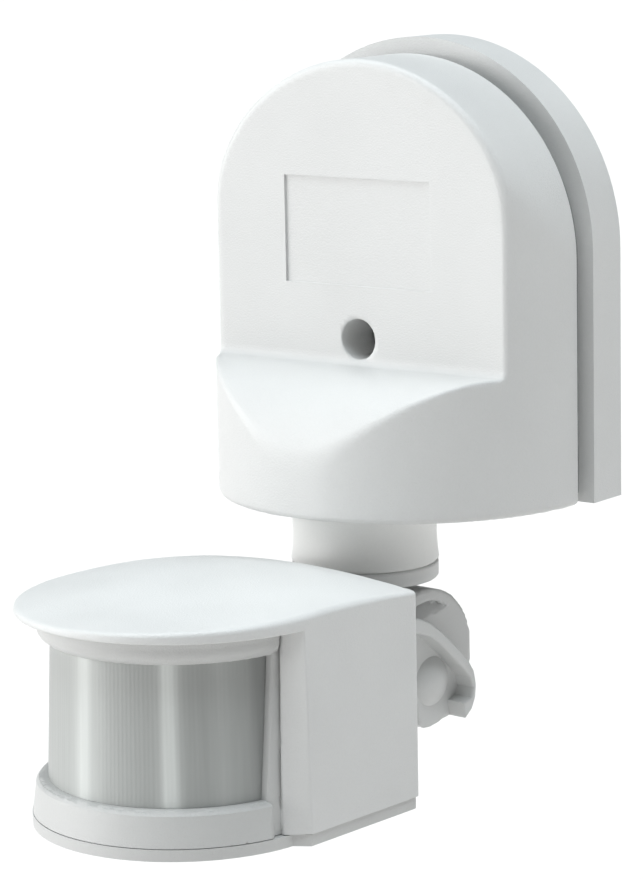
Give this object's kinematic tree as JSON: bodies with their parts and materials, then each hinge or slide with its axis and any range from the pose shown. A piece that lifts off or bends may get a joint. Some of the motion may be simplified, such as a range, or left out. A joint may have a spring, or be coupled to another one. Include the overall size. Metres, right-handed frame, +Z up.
{
  "type": "wall motion sensor",
  "caption": "Wall-mounted outdoor motion sensor: arch-topped junction box, panning neck, tilting hinge and a D-shaped head with a wraparound lens and underside setting knobs.",
  "frame": {"origin": "middle of the back plate's wall face", "axes": "+Z up, +Y out of the back of the plate into the wall, so the sensor looks along -Y; +X to the right of someone standing at the wall and looking out"},
  "size_m": [0.07, 0.098, 0.1248],
  "materials": {
    "white_plastic": "fine spark-eroded texture",
    "warm_white_plastic": "smooth satin",
    "ivory_plastic": "smooth satin",
    "lens_film": "milky translucent film with vertical lens facets",
    "grey_foam": "closed-cell foam",
    "black_rubber": "matt",
    "brass": "satin",
    "zinc_steel": "bright zinc",
    "circuit_board": "solder mask",
    "light_cell_face": "lacquered ceramic",
    "red_plastic": "clear tinted",
    "blue_plastic": "smooth",
    "yellow_plastic": "smooth",
    "black_plastic": "smooth"
  },
  "bodies": {
    "wall_box": {"back_plate": "white_plastic", "cover_gasket": "grey_foam", "cable_grommet": "black_rubber", "terminal_block": "ivory_plastic", "terminal_screws": "brass", "front_cover": "white_plastic", "cover_screw": "zinc_steel", "neck_collar": "warm_white_plastic", "neck_nut": "warm_white_plastic"},
    "turret": {"swivel_turret": "warm_white_plastic", "pan_clip": "zinc_steel", "pan_washer": "black_rubber"},
    "head": {"tilt_washers": "zinc_steel", "hinge_bracket": "warm_white_plastic", "bracket_screws": "zinc_steel", "pivot_bolt": "warm_white_plastic", "pivot_nut": "zinc_steel", "head_hood": "white_plastic", "lens_bezel": "white_plastic", "fresnel_lens": "lens_film", "base_cover": "white_plastic", "base_screws": "zinc_steel", "power_board": "circuit_board", "sensor_board": "circuit_board", "pyro_sensor": "zinc_steel", "pyro_spacer": "ivory_plastic", "light_cell": "light_cell_face", "signal_led": "red_plastic", "relay": "blue_plastic", "film_capacitor": "yellow_plastic", "filter_capacitors": "black_plastic", "board_parts": "black_plastic", "trimmers": "blue_plastic"},
    "time_knob": {"time_knob": "ivory_plastic"},
    "lux_knob": {"lux_knob": "ivory_plastic"}
  },
  "joints": [
    {"name": "head_pan", "type": "hinge", "parent": "wall_box", "child": "turret", "pos_m": [0, -0.0261, -0.05], "axis": [0, 0, 1], "range_deg": [-66, 74]},
    {"name": "head_tilt", "type": "hinge", "parent": "turret", "child": "head", "pos_m": [0.00002, -0.0258, -0.0683], "axis": [0.9976, -0.0698, 0], "range_deg": [-10, 45]},
    {"name": "time_knob_turn", "type": "hinge", "parent": "head", "child": "time_knob", "pos_m": [-0.01177, -0.05826, -0.0835], "axis": [0, 0, 1], "range_deg": [-135, 135]},
    {"name": "lux_knob_turn", "type": "hinge", "parent": "head", "child": "lux_knob", "pos_m": [0.00718, -0.05958, -0.0835], "axis": [0, 0, 1], "range_deg": [-135, 135]}
  ]
}
